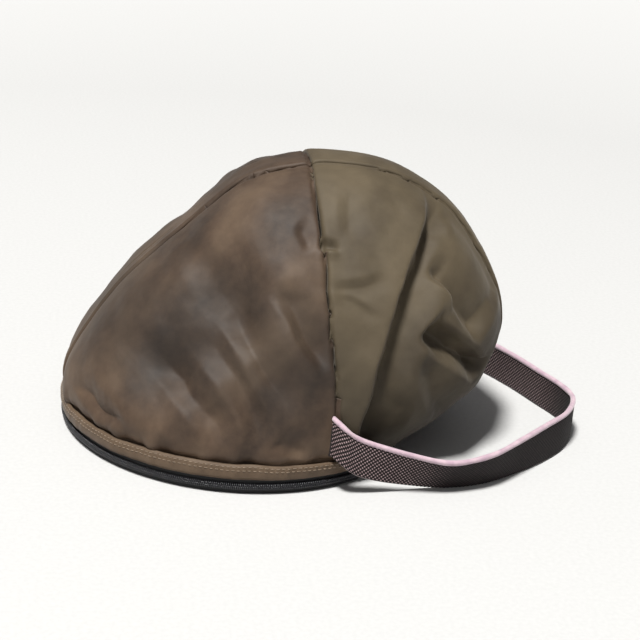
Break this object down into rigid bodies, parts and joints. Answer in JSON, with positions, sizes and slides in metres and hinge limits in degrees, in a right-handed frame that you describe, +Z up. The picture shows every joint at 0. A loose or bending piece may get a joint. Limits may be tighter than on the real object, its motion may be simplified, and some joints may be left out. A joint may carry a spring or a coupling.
{
  "type": "hand warmer muff",
  "caption": "Padded nylon dome muff with a zip-round base flap, a cross seam and top strip, and an edged webbing wrist loop lying out to one side.",
  "frame": {"origin": "centre of the circle that the zip runs round, on the floor under the base", "axes": "+Z up, -X to the zipped end, +X to the slack end and the wrist loop, -Y the near side"},
  "size_m": [0.3627, 0.2554, 0.1942],
  "materials": {
    "shell_brown": "padded nylon taffeta with a soft sheen, brown",
    "shell_olive": "padded nylon taffeta with a soft sheen, olive brown",
    "padding": "white polyester wadding, not seen",
    "lining": "brushed dark lining",
    "hem": "double stitched nylon hem",
    "zip_tape": "black woven zip tape",
    "zip_coil": "black nylon coil, slightly shiny",
    "zip_metal": "black enamelled zinc",
    "webbing": "open basket weave polypropylene webbing",
    "edging": "soft pale pink rolled edging"
  },
  "bodies": {
    "muff_body": {"near_panel_zipped": "shell_brown", "far_panel_zipped": "shell_brown", "top_strip_zipped": "shell_brown", "near_panel_slack": "shell_olive", "far_panel_slack": "shell_olive", "top_strip_slack": "shell_olive", "padding_zipped": "padding", "padding_slack": "padding", "lining_zipped": "lining", "lining_slack": "lining", "toe_outer": "shell_olive", "toe_padding": "padding", "toe_lining": "lining", "hem_band": "hem", "zip_tape_upper": "zip_tape", "zip_chain_upper": "zip_coil", "zip_stop_near": "zip_metal", "zip_stop_far": "zip_metal", "loop_patch_near": "webbing", "loop_patch_far": "webbing"},
    "base_flap": {"flap_outer": "shell_brown", "flap_padding": "padding", "flap_lining": "lining", "zip_tape_lower": "zip_tape", "zip_chain_lower": "zip_coil"},
    "slider": {"zip_slider": "zip_metal"},
    "pull_tab": {"zip_pull": "zip_metal"},
    "wrist_loop": {"loop_webbing": "webbing", "loop_edging": "edging"}
  },
  "joints": [
    {"name": "flap_hinge", "type": "hinge", "parent": "muff_body", "child": "base_flap", "pos_m": [0.074, 0, 0.00045], "axis": [0, -1, 0], "range_deg": [0, 100]},
    {"name": "slider_travel", "type": "hinge", "parent": "muff_body", "child": "slider", "pos_m": [0, 0, 0.0054], "axis": [0, 0, 1], "range_deg": [0, 232]},
    {"name": "pull_swing", "type": "hinge", "parent": "slider", "child": "pull_tab", "pos_m": [0.05624, 0.11532, 0.0054], "axis": [0, 0, 1], "range_deg": [0, 175]},
    {"name": "loop_swing", "type": "hinge", "parent": "muff_body", "child": "wrist_loop", "pos_m": [0.051, 0, 0.042], "axis": [0, -1, 0], "range_deg": [0, 120]}
  ]
}
